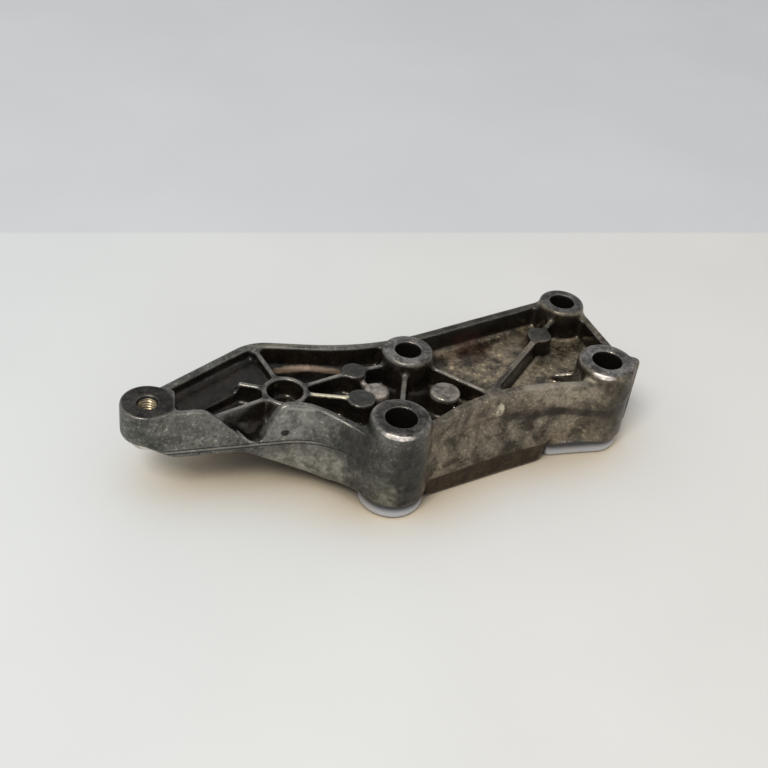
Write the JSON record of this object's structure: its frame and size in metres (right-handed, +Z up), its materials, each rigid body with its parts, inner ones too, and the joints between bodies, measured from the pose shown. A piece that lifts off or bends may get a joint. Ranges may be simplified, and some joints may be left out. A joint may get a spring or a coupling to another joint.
{
  "type": "engine mounting bracket",
  "caption": "One-piece die-cast aluminium engine mounting bracket: open ribbed tray on bolt columns, with an arm that ends in a threaded boss.",
  "frame": {"origin": "on the axis of the near left bolt hole, in the plane of the feet", "axes": "+Z up along the bolt holes, +X from the near left hole to the near right hole, +Y to the far wall"},
  "size_m": [0.1841, 0.0726, 0.035],
  "materials": {
    "cast_aluminium": "oily, stained as-cast surface with worn bright edges and machined boss faces"
  },
  "bodies": {
    "root": {"bracket_casting": "cast_aluminium"}
  },
  "joints": []
}
